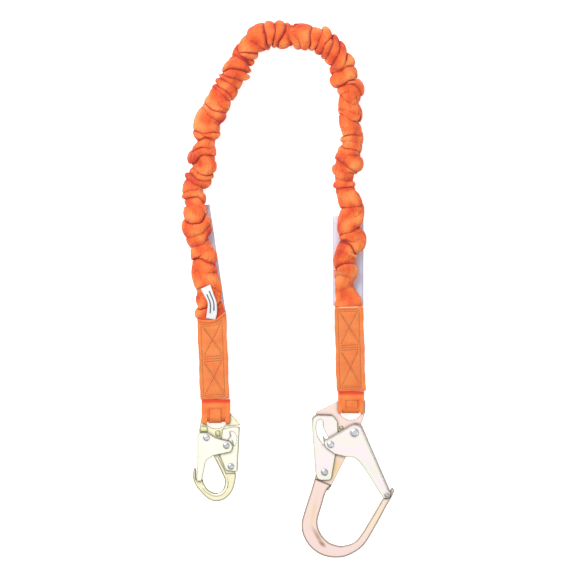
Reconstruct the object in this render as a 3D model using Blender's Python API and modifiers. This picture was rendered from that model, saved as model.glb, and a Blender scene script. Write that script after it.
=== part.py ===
"""Shock absorbing lanyard: a gathered stretch leg with a snap hook and a rebar hook.

The lanyard lies flat on z = 0. +Y runs from the hooks to the top of the webbing's bend, +X to the
rebar hook's side. The origin is on the floor, under the middle of the hooks, sleeves and labels.
Hook outlines are in millimetres from the centre of each hook's eye, and everything else in metres.
"""
import math

import bmesh
import bpy
from mathutils import Vector

MM = 0.001
GAP = 0.0003                      # between pieces that touch

# Places of the two eyes, from the middle of the drawing, and the drawing's shift to the origin.
SHIFT = Vector((-0.00436, 0.129095, 0.0))
SNAP_EYE = Vector((-0.1002, -0.1841, 0.0)) + SHIFT
REBAR_EYE = Vector((0.0875, -0.1722, 0.0)) + SHIFT

# Heights of the hook's layers, the same on both hooks.
MID_Z = 10.2 * MM                 # middle plane of hooks, sleeves and loops
BODY_HALF = 4.0 * MM              # half thickness of a hook's flat shank
LEVER_IN = 4.3 * MM               # inner faces of the lock lever's side plates
LEVER_OUT = 6.3 * MM
GATE_IN = 6.6 * MM                # inner faces of the gate's side plates
GATE_OUT = 8.6 * MM
LEVER_HEAD = 7.9 * MM             # outer face of a rivet head on the lever
GATE_HEAD = 10.1 * MM             # outer face of a rivet head on the gate

# Eye and webbing loop.
BAR_ABOVE_EYE = 16.4 * MM         # axis of the eye's bar, about which the hook swings
LOOP_WIDTH = 26.0 * MM
PAD_WIDTH = 18.0 * MM
LOOP_BEND = 6.0 * MM              # centre of the loop's lower bend, above the eye's centre
CAVITY_R = 6.8 * MM
STRAP = 1.8 * MM
PAD = 1.3 * MM
EYE_HALF_HEIGHT = 11.4            # of the eye's hole, in mm
EYE_CORNER = 2.6                  # radius of the hole's upper corners, in mm
LOOP_TOP_HALF = 4.6 * MM          # half thickness of the loop where it enters the sleeve
LOOP_SLIT_HALF = 1.4 * MM         # half height of the space between its two legs there
LOOP_SLIT_BELOW = 3.0 * MM        # from the top of that space to the sleeve
LOOP_SIDE = BAR_ABOVE_EYE + 2 * MM
SLEEVE_EDGE = 1.6 * MM
LOOP_UNDER_SLEEVE = 0.8 * MM      # gap between a loop's flat end and its sleeve

# Pivots.
PIVOT_PLAY = 0.3                  # radial play of a rivet in its hole, in mm
PIN_PLAY = 0.45                   # radial play of the lock pin in the lever's slot, in mm
LEVER_SHANK = 2.5                 # radius of the lever's rivet, in mm
POCKET_DEPTH = 3.9 * MM           # of the round pockets that the springs lie in
GATE_POCKET_PLAY = 1.1            # between a gate spring and its pocket, in mm
LEVER_POCKET = 5.1                # radius of the lever's pocket, in mm
LEVER_COIL = 3.9                  # radius of the lever's spring, in mm
RIVET_DISH = 0.4 * MM
RIVET_FLAT = 0.6                  # share of a rivet head inside its rim
RIVET_RIM = 0.45 * MM
SPRING_WIRE = 0.9 * MM
SPRING_PITCH = 1.05 * MM
SPRING_TURNS = 2.4
SPRING_LEG = 0.2 * MM
SPRING_BELOW = 3.1 * MM           # from the body's face down to a coil's first turn
COIL_STEPS = 12
SWEEP_STEPS = 8                   # positions of the lock pin that make the lever's slot

# Webbing.
SLEEVE_WIDTH = 41.0 * MM
SLEEVE_HALF = 5.0 * MM
JACKET_HALF_WIDTH = 19.0 * MM
JACKET_HALF_THICK = 12.0 * MM
JACKET_END_HALF_THICK = 4.7 * MM
JACKET_WALL = 2.0 * MM
JACKET_RINGS = 46
JACKET_SIDES = 16
END_CLEAR = 1.4 * MM              # between the jacket's ends and the sleeves
END_TAPER = 0.060                 # length over which the jacket flattens into a sleeve
LABEL_THICK = 1.2 * MM
LABEL_LIFT = 1.7 * MM             # height of the jacket's underside where a label lies beneath it
LABEL_REACH = 0.155               # how far up the jacket the labels reach
CORE_WIDTH = 18.0 * MM
CORE_THICK = 3.0 * MM
BAND_WIDTH = 4.5 * MM
BAND_THICK = 1.6 * MM
BAND_OFFSET = 11.75 * MM
SLEEVE_REACH = 0.035              # length over which the jacket comes down from the sleeve's level
LABEL_FADE = 0.05                 # length over which it comes down from a label to the floor
LABEL_STEP = 1.4 * MM             # height of a label's sewn end over its flat part
LABEL_RUN = 0.02                  # length of that step
TAG_LENGTH = 45.0 * MM
TAG_WIDTH = 18.0 * MM
TAG_THICK = 0.8 * MM
TAG_START = 3.0 * MM
TAG_OVER_JACKET = 1.1 * MM
TAG_CURL = 1.2 * MM
TAG_TURN = 7                      # degrees

# Sleeve ends: the middle of each sleeve's top and bottom edge.
SNAP_SLEEVE = (Vector((-0.1064, -0.0451, 0)) + SHIFT, Vector((-0.1023, -0.1546, 0)) + SHIFT)
REBAR_SLEEVE = (Vector((0.0848, -0.0251, 0)) + SHIFT, Vector((0.0882, -0.1434, 0)) + SHIFT)

# Label packs: the middle of the sewn end and of the free end, the width, and the turn in degrees.
LABELS = {
    "snap_label_pack": (
        Vector((-0.1022, -0.034, 0)) + SHIFT, Vector((-0.1245, 0.1155, 0)) + SHIFT, 30.0 * MM, 8.5,
    ),
    "rebar_label_pack": (
        Vector((0.0840, -0.024, 0)) + SHIFT, Vector((0.0840, 0.1015, 0)) + SHIFT, 45.0 * MM, 0.0,
    ),
}

# The jacket's route from the snap hook's sleeve to the rebar hook's, in mm before the shift.
ROUTE = (
    (-106.4, -44.8), (-107.0, -34), (-110.6, -8), (-115.5, 25), (-120, 60), (-126, 95),
    (-129, 128), (-125, 160), (-117, 192), (-109, 225), (-99, 256), (-85, 284), (-70, 311),
    (-52, 338), (-25, 355), (8, 355), (40, 347), (64, 329), (78, 302), (85, 270), (87, 236),
    (87, 200), (84, 165), (84, 130), (88, 96), (86, 60), (82.5, 28), (83.2, 0), (84.4, -14),
    (84.8, -24.8),
)

SMALLEST_REACH = 0.05             # a corner rounded by less stays sharp, in mm
CORNER_SHARE = 0.48               # of an outline's side that one rounded corner may take
SHARP_ANGLE = 32                  # degrees between faces that shade as a sharp edge
SIDE_STEP = 0.004                 # half length over which the jacket's direction is taken

ORANGE = (0.90, 0.23, 0.045)
ZINC = (0.78, 0.76, 0.56)
GOLD = (0.80, 0.62, 0.48)
STEEL = (0.55, 0.56, 0.58)
LABEL = (0.72, 0.72, 0.86)
WHITE = (0.85, 0.85, 0.83)
CORE = (0.80, 0.78, 0.70)
ELASTIC = (0.12, 0.12, 0.13)


# ---------------------------------------------------------------- scene and materials

def clear_scene():
    for obj in list(bpy.data.objects):
        bpy.data.objects.remove(obj, do_unlink=True)


def collection(name):
    made = bpy.data.collections.new(name)
    bpy.context.scene.collection.children.link(made)
    return made


def material(name, colour, roughness, metallic):
    made = bpy.data.materials.new(name)
    made.use_nodes = True
    shader = made.node_tree.nodes["Principled BSDF"]
    shader.inputs["Base Color"].default_value = (*colour, 1.0)
    shader.inputs["Roughness"].default_value = roughness
    shader.inputs["Metallic"].default_value = metallic
    return made


clear_scene()
PARTS = collection("shock_absorbing_lanyard")
CUTTERS = collection("cutters")
WEBBING = material("webbing", ORANGE, 0.85, 0.0)
CORE_CLOTH = material("core_cloth", CORE, 0.85, 0.0)
ELASTIC_CLOTH = material("elastic", ELASTIC, 0.8, 0.0)
LABEL_FILM = material("label_film", LABEL, 0.4, 0.0)
TAG_CLOTH = material("tag_cloth", WHITE, 0.7, 0.0)
YELLOW_ZINC = material("yellow_zinc", ZINC, 0.35, 1.0)
FORGED = material("forged_gold", GOLD, 0.4, 1.0)
RIVET_STEEL = material("rivet_steel", STEEL, 0.3, 1.0)
SPRING_STEEL = material("spring_steel", STEEL, 0.35, 1.0)


# ---------------------------------------------------------------- outlines

def arc(centre, radius, start, end, steps):
    """Points on a circle from angle start to angle end, in degrees."""
    made = []
    for i in range(steps + 1):
        a = math.radians(start + (end - start) * i / steps)
        made.append((centre[0] + radius * math.cos(a), centre[1] + radius * math.sin(a)))
    return made


def rounded(corners, step=14.0):
    """A closed outline from (x, y, radius) corners, each corner turned into an arc."""
    made = []
    count = len(corners)
    for i, (x, y, radius) in enumerate(corners):
        here = Vector((x, y))
        back = Vector(corners[i - 1][:2]) - here
        ahead = Vector(corners[(i + 1) % count][:2]) - here
        half = back.angle(ahead) / 2
        reach = min(radius / math.tan(half), CORNER_SHARE * back.length, CORNER_SHARE * ahead.length)
        if reach < SMALLEST_REACH:
            made.append((x, y))
            continue
        radius = reach * math.tan(half)
        halfway = (back.normalized() + ahead.normalized()).normalized()
        middle = here + halfway * radius / math.sin(half)
        first = here + back.normalized() * reach - middle
        last = here + ahead.normalized() * reach - middle
        turn = math.degrees(first.angle_signed(last))
        steps = max(1, round(abs(turn) / step))
        for j in range(steps + 1):
            a = math.radians(turn * j / steps)
            c, s = math.cos(a), math.sin(a)
            made.append((middle.x + first.x * c + first.y * s, middle.y - first.x * s + first.y * c))
    return made


def smooth(points, steps=4):
    """An open curve through the points, a Catmull-Rom spline."""
    ends = [tuple(2 * a - b for a, b in zip(points[0], points[1]))]
    ends.append(tuple(2 * a - b for a, b in zip(points[-1], points[-2])))
    line = [ends[0], *points, ends[1]]
    made = []
    for p0, p1, p2, p3 in zip(line, line[1:], line[2:], line[3:]):
        for j in range(steps):
            t = j / steps
            made.append(tuple(
                0.5 * (2 * b + (c - a) * t + (2 * a - 5 * b + 4 * c - d) * t * t
                       + (3 * b - a - 3 * c + d) * t ** 3)
                for a, b, c, d in zip(p0, p1, p2, p3)
            ))
    made.append(tuple(points[-1]))
    return made


def circle(centre, radius, steps=18):
    return arc(centre, radius, 0, 360, steps)[:-1]


def turned_about(point, pivot, degrees):
    a = math.radians(degrees)
    x, y = point[0] - pivot[0], point[1] - pivot[1]
    return (pivot[0] + x * math.cos(a) - y * math.sin(a), pivot[1] + x * math.sin(a) + y * math.cos(a))


# ---------------------------------------------------------------- solids

def as_mesh(curve_object):
    """The curve as a mesh object with welded caps, in the same place."""
    bpy.context.view_layer.update()
    graph = bpy.context.evaluated_depsgraph_get()
    mesh = bpy.data.meshes.new_from_object(curve_object.evaluated_get(graph))
    name = curve_object.name
    place = curve_object.matrix_world.copy()
    home = curve_object.users_collection[0]
    bpy.data.objects.remove(curve_object, do_unlink=True)
    work = bmesh.new()
    work.from_mesh(mesh)
    bmesh.ops.remove_doubles(work, verts=work.verts, dist=1e-6)
    bmesh.ops.recalc_face_normals(work, faces=work.faces)
    work.to_mesh(mesh)
    work.free()
    made = bpy.data.objects.new(name, mesh)
    made.matrix_world = place
    home.objects.link(made)
    return made


def slab(name, outlines, low, high, edge=0.0, scale=MM):
    """Flat outlines, the first one solid and the rest holes, filled between two heights."""
    curve = bpy.data.curves.new(name, "CURVE")
    curve.dimensions = "2D"
    curve.fill_mode = "BOTH"
    curve.extrude = (high - low) / 2 - edge
    curve.bevel_depth = edge
    curve.bevel_resolution = 1
    curve.offset = -edge
    for outline in outlines:
        spline = curve.splines.new("POLY")
        spline.points.add(len(outline) - 1)
        for point, (x, y) in zip(spline.points, outline):
            point.co = (x * scale, y * scale, 0.0, 1.0)
        spline.use_cyclic_u = True
    made = bpy.data.objects.new(name, curve)
    made.location.z = (low + high) / 2
    PARTS.objects.link(made)
    made = as_mesh(made)
    for vertex in made.data.vertices:
        vertex.co.z += made.location.z
    made.location.z = 0.0
    return made


def turned(name, profile, steps=18):
    """A profile of (radius, z) points in metres, top to bottom, turned about Z."""
    mesh = bpy.data.meshes.new(name)
    edges = [(i, i + 1) for i in range(len(profile) - 1)]
    mesh.from_pydata([(r, 0.0, z) for r, z in profile], edges, [])
    made = bpy.data.objects.new(name, mesh)
    PARTS.objects.link(made)
    screw = made.modifiers.new("turn", "SCREW")
    screw.steps = steps
    screw.render_steps = steps
    screw.use_merge_vertices = True
    screw.merge_threshold = 0.00001
    screw.use_smooth_shade = False
    return made


def coil(name, radius, wire, turns, bottom, pitch, legs):
    """A torsion spring's coil about Z, with a straight leg of the given length at its top."""
    points = []
    for i in range(int(turns * COIL_STEPS) + 1):
        a = 2 * math.pi * i / COIL_STEPS
        points.append((radius * math.cos(a), radius * math.sin(a), bottom + pitch * i / COIL_STEPS))
    last, before = Vector(points[-1]), Vector(points[-2])
    points.append(tuple(last + (last - before).normalized() * legs))
    curve = bpy.data.curves.new(name, "CURVE")
    curve.dimensions = "3D"
    curve.bevel_depth = wire / 2
    curve.bevel_resolution = 0
    curve.use_fill_caps = True
    spline = curve.splines.new("POLY")
    spline.points.add(len(points) - 1)
    for point, place in zip(spline.points, points):
        point.co = (*place, 1.0)
    made = bpy.data.objects.new(name, curve)
    PARTS.objects.link(made)
    return as_mesh(made)


def boolean(target, tool, operation):
    change = target.modifiers.new(operation.lower(), "BOOLEAN")
    change.operation = operation
    change.object = tool
    change.solver = "EXACT"
    for home in list(tool.users_collection):
        home.objects.unlink(tool)
    CUTTERS.objects.link(tool)
    tool.hide_render = True
    tool.display_type = "WIRE"


def finish(made, finish_material):
    made.data.materials.clear()
    made.data.materials.append(finish_material)
    made.data.shade_smooth()
    made.data.set_sharp_from_angle(angle=math.radians(SHARP_ANGLE))


def empty(name, place, parent=None):
    made = bpy.data.objects.new(name, None)
    made.empty_display_size = 0.01
    PARTS.objects.link(made)
    made.parent = parent
    made.location = place - (parent.matrix_world.translation if parent else Vector())
    bpy.context.view_layer.update()
    return made


def hang(made, pivot, drawn_from):
    """Hang a piece, drawn about drawn_from, on an empty that stands on its joint's axis."""
    shift = drawn_from - pivot.matrix_world.translation
    pieces = [made]
    pieces += [change.object for change in made.modifiers if change.type == "BOOLEAN"]
    for piece in pieces:
        if piece.type == "MESH" and piece.parent is None:
            for vertex in piece.data.vertices:
                vertex.co += shift
            piece.parent = pivot
    return made


# ---------------------------------------------------------------- hooks

def rivet(name, shank, head, head_in, head_out):
    """A riveted pin through the middle plane, with a domed and dished head at each end."""
    upper = [
        (0.0, head_out - RIVET_DISH), (head * RIVET_FLAT, head_out), (head, head_in + RIVET_RIM),
        (head, head_in), (shank, head_in),
    ]
    lower = [(r, -z) for r, z in reversed(upper)]
    made = turned(name, [(r, z + MID_Z) for r, z in upper + lower])
    finish(made, RIVET_STEEL)
    return made


def folded_plates(name, outline, holes, half_in, half_out, removed):
    """A U channel: two side plates joined by a spine along one edge.

    removed is the outline of what is cut out between the plates.
    """
    outlines = [outline] + [circle(place, radius + PIVOT_PLAY) for place, radius in holes]
    made = slab(name, outlines, MID_Z - half_out, MID_Z + half_out)
    inside = slab(name + "_inside", [removed], MID_Z - half_in, MID_Z + half_in)
    boolean(made, inside, "DIFFERENCE")
    return made


def pin_path(pin, gate_pivot, gate_travel, lever_pivot, lever_travel, radius):
    """The outline that the lock pin sweeps in the lever as gate and lever turn together."""
    path = []
    for i in range(SWEEP_STEPS + 1):
        t = i / SWEEP_STEPS
        place = turned_about(pin, gate_pivot, gate_travel * t)
        path.append(Vector(turned_about(place, lever_pivot, -lever_travel * t)))
    left, right = [], []
    for i, place in enumerate(path):
        along = (path[min(i + 1, SWEEP_STEPS)] - path[max(i - 1, 0)]).normalized()
        across = Vector((-along.y, along.x)) * radius
        left.append(tuple(place + across))
        right.append(tuple(place - across))
    start = (path[0] - path[1]).normalized()
    end = (path[-1] - path[-2]).normalized()
    first = math.degrees(math.atan2(start.y, start.x))
    last = math.degrees(math.atan2(end.y, end.x))
    cap_end = arc(path[-1], radius, last + 90, last - 90, SWEEP_STEPS)
    cap_start = arc(path[0], radius, first + 90, first - 90, SWEEP_STEPS)
    return left + cap_end[1:-1] + right[::-1] + cap_start[1:-1]


def eye_hole(half_width, half_height):
    """A D-shaped eye: a round lower edge and a straight upper one that the webbing lies on."""
    lower = [(x * half_width, y * half_height) for x, y in arc((0, 0), 1.0, 180, 360, 16)]
    up = half_height - EYE_CORNER
    right = arc((half_width - EYE_CORNER, up), EYE_CORNER, 0, 90, 5)
    left = arc((EYE_CORNER - half_width, up), EYE_CORNER, 90, 180, 5)
    return lower + right + left


def hook(shape, eye, metal):
    """All the pieces of one hook, hung on empties on their joint axes."""
    name = shape["name"]
    swing = empty(name + "_swing", eye + Vector((0, BAR_ABOVE_EYE, MID_Z)))
    gate_axis = empty(name + "_gate_axis", eye + Vector((*shape["gate_pivot"], 0)) * MM, swing)
    lock_axis = empty(name + "_lock_axis", eye + Vector((*shape["lever_pivot"], 0)) * MM, swing)

    body = slab(name + "_hook_body", [
        rounded(shape["plate"]), eye_hole(shape["eye_half"], EYE_HALF_HEIGHT),
        circle(shape["gate_pivot"], shape["pivot_shank"] + PIVOT_PLAY),
        circle(shape["lever_pivot"], LEVER_SHANK + PIVOT_PLAY),
    ], MID_Z - BODY_HALF, MID_Z + BODY_HALF)
    bar_low, bar_high = MID_Z - shape["bar_half"], MID_Z + shape["bar_half"]
    boolean(body, slab(name + "_bar", [shape["bar"]], bar_low, bar_high, shape["bar_edge"]), "UNION")
    face = MID_Z + BODY_HALF
    for label, place, radius in (
        ("gate", shape["gate_pivot"], shape["coil"] + GATE_POCKET_PLAY),
        ("lever", shape["lever_pivot"], LEVER_POCKET),
    ):
        outline = [circle(place, radius)]
        pocket = slab(f"{name}_{label}_pocket", outline, face - POCKET_DEPTH, face + BODY_HALF)
        boolean(body, pocket, "DIFFERENCE")
    hang(body, swing, eye)
    finish(body, metal)

    gate_holes = [(shape["gate_pivot"], shape["pivot_shank"]), (shape["pin"], shape["pin_shank"])]
    gate_holes += [(place, shank) for place, shank, _ in shape["gate_rivets"]]
    gate = folded_plates(
        name + "_gate", rounded(shape["gate"]), gate_holes, GATE_IN, GATE_OUT, shape["gate_inside"],
    )
    hang(gate, gate_axis, eye)
    finish(gate, YELLOW_ZINC)

    lever = folded_plates(
        name + "_lock_lever", rounded(shape["lever"]), [(shape["lever_pivot"], LEVER_SHANK)],
        LEVER_IN, LEVER_OUT, shape["lever_inside"],
    )
    slot = slab(name + "_lever_slot", [pin_path(
        shape["pin"], shape["gate_pivot"], shape["gate_travel"], shape["lever_pivot"],
        shape["lever_travel"], shape["pin_shank"] + PIN_PLAY,
    )], 0.0, 2 * MID_Z)
    window = slab(name + "_lever_window", [rounded(shape["window"])], 0.0, 2 * MID_Z)
    boolean(lever, slot, "DIFFERENCE")
    boolean(lever, window, "DIFFERENCE")
    hang(lever, lock_axis, eye)
    finish(lever, YELLOW_ZINC)

    outer_heads = [
        ("gate_rivet", shape["gate_pivot"], shape["pivot_shank"], shape["pivot_head"], swing),
        ("lock_pin", shape["pin"], shape["pin_shank"], shape["pin_head"], gate_axis),
    ]
    for place, shank, head in shape["gate_rivets"]:
        outer_heads.append(("nose_rivet", place, shank, head, gate_axis))
    for label, place, shank, head, holder in outer_heads:
        made = rivet(f"{name}_{label}", shank * MM, head * MM, GATE_OUT + GAP, GATE_HEAD)
        hang_round(made, holder, eye + Vector((*place, 0)) * MM)
    made = rivet(name + "_lock_rivet", LEVER_SHANK * MM, shape["pin_head"] * MM, LEVER_OUT + GAP, LEVER_HEAD)
    hang_round(made, swing, eye + Vector((*shape["lever_pivot"], 0)) * MM)

    for label, place, radius in (
        ("gate", shape["gate_pivot"], shape["coil"]), ("lock", shape["lever_pivot"], LEVER_COIL),
    ):
        spring = coil(f"{name}_{label}_spring", radius * MM, SPRING_WIRE, SPRING_TURNS, face - SPRING_BELOW,
                      SPRING_PITCH, SPRING_LEG)
        hang_round(spring, swing, eye + Vector((*place, 0)) * MM)
        finish(spring, SPRING_STEEL)


def hang_round(made, holder, place):
    """Hang a piece drawn about its own axis on a joint's empty."""
    made.parent = holder
    made.location = place - holder.matrix_world.translation


SNAP = {
    "name": "snap", "eye_half": 15.0,
    "gate_pivot": (-13.6, -24.1), "pin": (14.1, -35.3), "lever_pivot": (20.6, -64.4),
    "pivot_shank": 2.6, "pivot_head": 4.3, "pin_shank": 1.9, "pin_head": 4.2, "coil": 3.9,
    "gate_travel": 20.0, "lever_travel": 8.0, "gate_rivets": (),
    "plate": (
        (-12, 21.4, 9), (12, 21.4, 9), (19, 10.8, 6), (33, -5.0, 1.2), (33, -6.9, 0.5), (12, -8.6, 2),
        (10.4, -14, 3), (10.2, -41, 3), (24.5, -50.5, 5), (26.8, -57, 4), (26.6, -84, 0), (12.6, -84, 0),
        (12.0, -82, 0), (-4, -49, 6), (-12, -32, 6), (-21, -31, 6), (-21.3, -19, 2), (-24.0, -15, 2),
        (-22.5, -5.2, 5), (-20.3, 6.6, 8),
    ),
    "bar": (
        smooth(((27.4, -74), (27.0, -82), (22.8, -97.5), (12.8, -109.2), (0.4, -113), (-11.5, -109.4),
                (-21.8, -99.5), (-28.6, -91), (-32.3, -81), (-32.1, -71)))
        + [(-31.0, -67.0), (-29.4, -66.6), (-28.2, -69), (-28.2, -81.6), (-27.2, -82.6), (-18.6, -82.6)]
        + smooth(((-17.6, -88.5), (-11.3, -96.8), (-2.2, -101.5)), 4)
        + smooth(((2.8, -101.5), (8.6, -97.6), (11.4, -90.5), (11.6, -82), (8.2, -74.2)), 4)
    ),
    "bar_half": 5.2 * MM, "bar_edge": 1.5 * MM,
    "gate": (
        (-23.1, -16.5, 3), (-12.5, -16.5, 4), (-2, -22.7, 6), (5.7, -25.6, 6), (19.5, -28.7, 6),
        (23.4, -34.9, 6), (20.9, -43.8, 5), (-4.1, -49.1, 3), (-14.7, -56, 8), (-18.6, -75.7, 8),
        (-20.4, -84.8, 1), (-27.7, -84.8, 1), (-26.2, -56, 5), (-26.2, -20.2, 3),
    ),
    "gate_inside": (
        (-24.2, -26.5), (-60, -26.5), (-60, 20), (60, 20), (60, -120), (-60, -120), (-60, -80.3),
        (-25.5, -80.3), (-24.2, -56),
    ),
    "lever": ((8.8, -12.7, 2), (22.4, -9, 4), (33, -9, 2), (29.7, -72, 2), (13.3, -69.7, 6), (5, -48.4, 3)),
    "lever_inside": (
        (31.0, -12), (60, -12), (60, 20), (-60, 20), (-60, -120), (60, -120), (60, -66), (28.1, -66),
    ),
    "window": (
        (19.4, -14.8, 1), (25.5, -16.8, 3), (28.4, -23, 4), (28.2, -30, 3), (24.9, -36.6, 0.6),
        (23.6, -30, 3), (21, -23, 3),
    ),
}

REBAR = {
    "name": "rebar", "eye_half": 14.8,
    "gate_pivot": (5.5, -28.8), "pin": (-27.9, -45.5), "lever_pivot": (-36.5, -84.3),
    "pivot_shank": 3.4, "pivot_head": 5.4, "pin_shank": 2.0, "pin_head": 4.5, "coil": 4.9,
    "gate_travel": -38.0, "lever_travel": -9.0, "gate_rivets": (((50.5, -116.1), 1.7, 3.0),),
    "plate": (
        (-12, 21.4, 9), (12, 21.4, 9), (20.3, 16, 6), (20.3, -0.7, 8), (14.6, -16.2, 4), (15.4, -28, 8),
        (11.4, -37, 8), (-7, -63.3, 10), (-27.6, -104.4, 0), (-31, -110, 0), (-50, -104, 0), (-49.4, -90, 5),
        (-45.2, -79, 6), (-43, -60, 8), (-23, -51, 5), (-22, -30, 6), (-23, -11, 4), (-36, -7.2, 3),
        (-49, -5.6, 0.5), (-48.4, -0.6, 2), (-18.6, 14.3, 8),
    ),
    "bar": (
        smooth(((-50.2, -93.2), (-54.5, -108), (-63.5, -136), (-68.6, -156.1), (-66, -173), (-56, -189),
                (-40, -200), (-20.4, -203.7), (-2, -200), (17.9, -186.5), (34, -161), (50, -131.5),
                (57.3, -118.9), (60.6, -111.6)))
        + [(60.4, -108.2), (58.6, -106.2), (56.6, -107.2), (54.6, -112.4), (53.9, -118.4), (52.2, -119.9),
           (47.2, -120.1), (44.8, -121.6)]
        + smooth(((44.0, -122.8), (28, -150), (14.5, -172), (4, -183.0), (-10.5, -187.4)), 4)
        + smooth(((-16.5, -187.4), (-31, -182), (-42.5, -169), (-46.3, -152.6), (-40.5, -131), (-34.7, -112),
                  (-27.4, -102.2)), 4)
    ),
    "bar_half": 5.9 * MM, "bar_edge": 2.0 * MM,
    "gate": (
        (-37.4, -42.5, 2), (-36.5, -39.8, 2), (6.3, -15.1, 12), (15.3, -18.6, 3), (16.2, -20.4, 2),
        (56.4, -113.3, 3), (53.5, -120.6, 3), (45.6, -120.5, 3), (14.2, -70.9, 16), (6.0, -63.3, 12),
        (-7.7, -62.4, 10), (-22.3, -58.8, 10), (-35.7, -49, 8),
    ),
    "gate_inside": (
        (17.4, -28), (60, -28), (60, 20), (-60, 20), (-60, -140), (70, -140), (70, -106), (51.2, -106),
    ),
    "lever": (
        (-48.2, -3.5, 5), (-53.8, -8, 3), (-54.3, -16.9, 6), (-49.2, -84.7, 6), (-46, -95.4, 12),
        (-27, -95.4, 12), (-25.8, -84.7, 4), (-21.3, -59.8, 6), (-17.8, -27.6, 3), (-18.6, -13.3, 4),
        (-25.8, -4.3, 4),
    ),
    "lever_inside": (
        (-52.2, -12), (-80, -12), (-80, 20), (60, 20), (60, -120), (-80, -120), (-80, -79.5), (-47.3, -79.5),
    ),
    "window": (
        (-39.0, -10.4, 3), (-46.4, -11.2, 5), (-48.6, -22, 8), (-46.6, -34, 10), (-37.0, -47.8, 0.6),
        (-38.4, -36, 5), (-38.8, -24, 6),
    ),
}


# ---------------------------------------------------------------- webbing

def sleeve(name, ends):
    """A flat stitched pack of webbing with rounded edges, between its two end points."""
    top, bottom = ends
    length = (top - bottom).length
    half = SLEEVE_WIDTH / 2
    outline = [(-half, -length / 2), (half, -length / 2), (half, length / 2), (-half, length / 2)]
    made = slab(name, [outline], -SLEEVE_HALF, SLEEVE_HALF, SLEEVE_EDGE, 1.0)
    made.location = (top + bottom) / 2 + Vector((0, 0, MID_Z))
    along = top - bottom
    made.rotation_euler.z = math.atan2(-along.x, along.y)
    finish(made, WEBBING)
    return made


def teardrop(reach, top, top_half):
    """Half round below, narrowing to a flat end above: (y, z) points round the eye's bar."""
    lower = arc((LOOP_BEND, 0.0), reach, -90, -270, 12)
    return lower + [(LOOP_SIDE, reach), (top, top_half), (top, -top_half), (LOOP_SIDE, -reach)]


def upright(made, eye):
    """Stand a slab drawn with (y, z) as (x, y) up, so that its width runs along X."""
    for vertex in made.data.vertices:
        y, z, x = vertex.co
        vertex.co = (x, y, z)
    made.location = eye + Vector((0, 0, MID_Z))
    finish(made, WEBBING)


def loop(name, eye, top):
    """A strap folded round the eye's bar, with a clear space inside for the bar to turn in."""
    outlines = [
        teardrop(CAVITY_R + STRAP, top, LOOP_TOP_HALF),
        teardrop(CAVITY_R, top - LOOP_SLIT_BELOW, LOOP_SLIT_HALF),
    ]
    upright(slab(name, outlines, -LOOP_WIDTH / 2, LOOP_WIDTH / 2, 0.0, 1.0), eye)


def wear_pad(name, eye):
    """An open U of webbing outside the loop, with its two ends beside the eye's bar."""
    inner = CAVITY_R + STRAP + GAP
    outer = inner + PAD
    outline = [(LOOP_SIDE, outer)] + arc((LOOP_BEND, 0.0), outer, 90, 270, 14) + [(LOOP_SIDE, -outer)]
    outline += [(LOOP_SIDE, -inner)] + arc((LOOP_BEND, 0.0), inner, 270, 90, 14) + [(LOOP_SIDE, inner)]
    upright(slab(name, [outline], -PAD_WIDTH / 2, PAD_WIDTH / 2, 0.0, 1.0), eye)


def webbing_end(prefix, eye, ends):
    sleeve(prefix + "_end_sleeve", ends)
    loop(prefix + "_end_loop", eye, ends[1].y - eye.y - LOOP_UNDER_SLEEVE)
    wear_pad(prefix + "_wear_pad", eye)


def ease(t):
    t = min(max(t, 0.0), 1.0)
    return t * t * (3 - 2 * t)


class Route:
    """The jacket's centre line, with its length, height and thickness at each point."""

    def __init__(self):
        fine = [Vector((x * MM, y * MM, 0.0)) + SHIFT for x, y in smooth(ROUTE, 12)]
        lengths = [0.0]
        for a, b in zip(fine, fine[1:]):
            lengths.append(lengths[-1] + (b - a).length)
        self.fine, self.lengths, self.total = fine, lengths, lengths[-1]

    def place(self, s):
        s = min(max(s, 0.0), self.total)
        i = max(k for k in range(len(self.lengths) - 1) if self.lengths[k] <= s)
        t = (s - self.lengths[i]) / (self.lengths[i + 1] - self.lengths[i])
        return self.fine[i].lerp(self.fine[i + 1], t)

    def side(self, s):
        along = (self.place(s + SIDE_STEP) - self.place(s - SIDE_STEP)).normalized()
        return Vector((along.y, -along.x, 0.0))

    def half_thick(self, s):
        near = min(s, self.total - s)
        return JACKET_END_HALF_THICK + (JACKET_HALF_THICK - JACKET_END_HALF_THICK) * ease(near / END_TAPER)

    def height(self, s):
        """Height of the middle: level with the sleeve at an end, then on the label, then on the floor."""
        near = min(s, self.total - s)
        rest = LABEL_LIFT * (1 - ease((near - LABEL_REACH) / LABEL_FADE))
        sleeve_level = MID_Z - JACKET_END_HALF_THICK
        return self.half_thick(s) + rest + (sleeve_level - rest) * (1 - ease(near / SLEEVE_REACH))


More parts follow.
